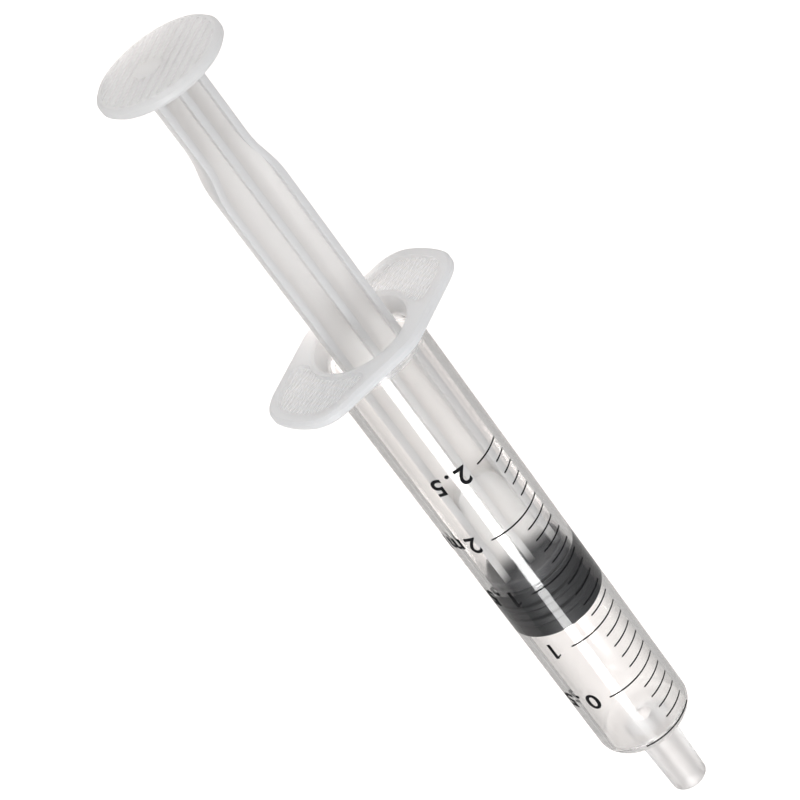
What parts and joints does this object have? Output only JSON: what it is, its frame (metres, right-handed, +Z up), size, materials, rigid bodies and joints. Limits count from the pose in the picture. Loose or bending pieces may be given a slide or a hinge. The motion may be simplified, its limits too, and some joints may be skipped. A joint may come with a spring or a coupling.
{
  "type": "disposable syringe",
  "caption": "Small disposable syringe with a clear graduated barrel, slip tip, finger flange, rubber stopper and ribbed plunger rod with a round thumb disc.",
  "frame": {"origin": "middle of the syringe's length and width, on the surface that it lies on", "axes": "+X along the syringe's axis from the tip towards the thumb disc, +Z up from the surface that it lies on"},
  "size_m": [0.1014, 0.0228, 0.0146],
  "materials": {
    "clear_plastic": "clear, slightly milky polypropylene",
    "ink": "black printed ink",
    "rubber": "black rubber, slightly glossy",
    "milky_plastic": "milky translucent polypropylene"
  },
  "bodies": {
    "barrel": {"barrel": "clear_plastic", "scale_lines": "ink"},
    "stopper": {"stopper": "rubber"},
    "rod": {"plunger_rod": "milky_plastic"}
  },
  "joints": [
    {"name": "plunger_slide", "type": "slide", "parent": "barrel", "child": "stopper", "axis": [1, 0, 0], "range_m": [-0.0179, 0.0288]},
    {"name": "rod_turn", "type": "hinge", "parent": "stopper", "child": "rod", "pos_m": [0, 0, 0.0073], "axis": [1, 0, 0], "continuous": true}
  ]
}
